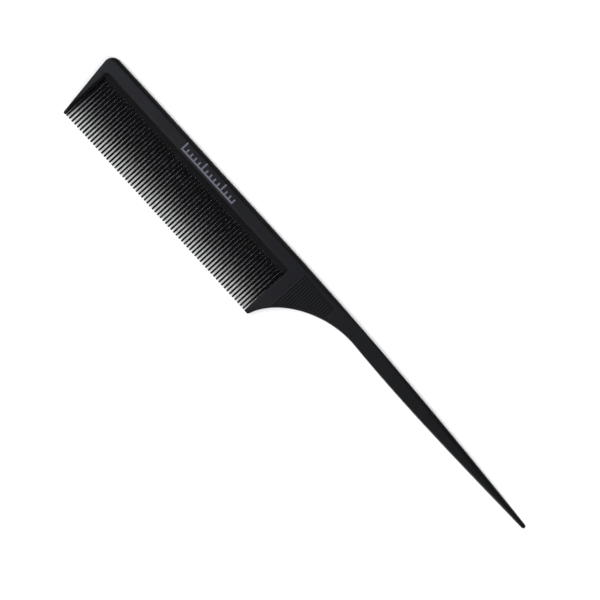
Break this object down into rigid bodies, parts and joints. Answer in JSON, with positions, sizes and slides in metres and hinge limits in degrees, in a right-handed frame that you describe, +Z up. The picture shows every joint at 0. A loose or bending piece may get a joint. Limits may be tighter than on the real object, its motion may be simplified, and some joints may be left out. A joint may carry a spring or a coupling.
{
  "type": "rat tail comb",
  "caption": "Flat charcoal hair comb with fine teeth between two guard teeth, a ribbed shoulder and a long pointed tail for parting hair.",
  "frame": {"origin": "on the surface that the comb lies on, under the middle of its outline", "axes": "+X along the back from the toe to the tail's point, +Y from the teeth to the back edge, +Z up through the thickness, out of the printed face"},
  "size_m": [0.222, 0.0272, 0.0038],
  "materials": {
    "charcoal_plastic": "satin, very fine moulded grain, slightly bluish black",
    "pale_grey_print": "thin matt pad print"
  },
  "bodies": {
    "root": {"back_rail": "charcoal_plastic", "toe_guard": "charcoal_plastic", "heel_guard": "charcoal_plastic", "tooth_land": "charcoal_plastic", "fine_teeth": "charcoal_plastic", "shoulder": "charcoal_plastic", "front_grip_ribs": "charcoal_plastic", "rear_grip_ribs": "charcoal_plastic", "tail": "charcoal_plastic", "tail_tip": "charcoal_plastic", "printed_scale": "pale_grey_print"}
  },
  "joints": []
}
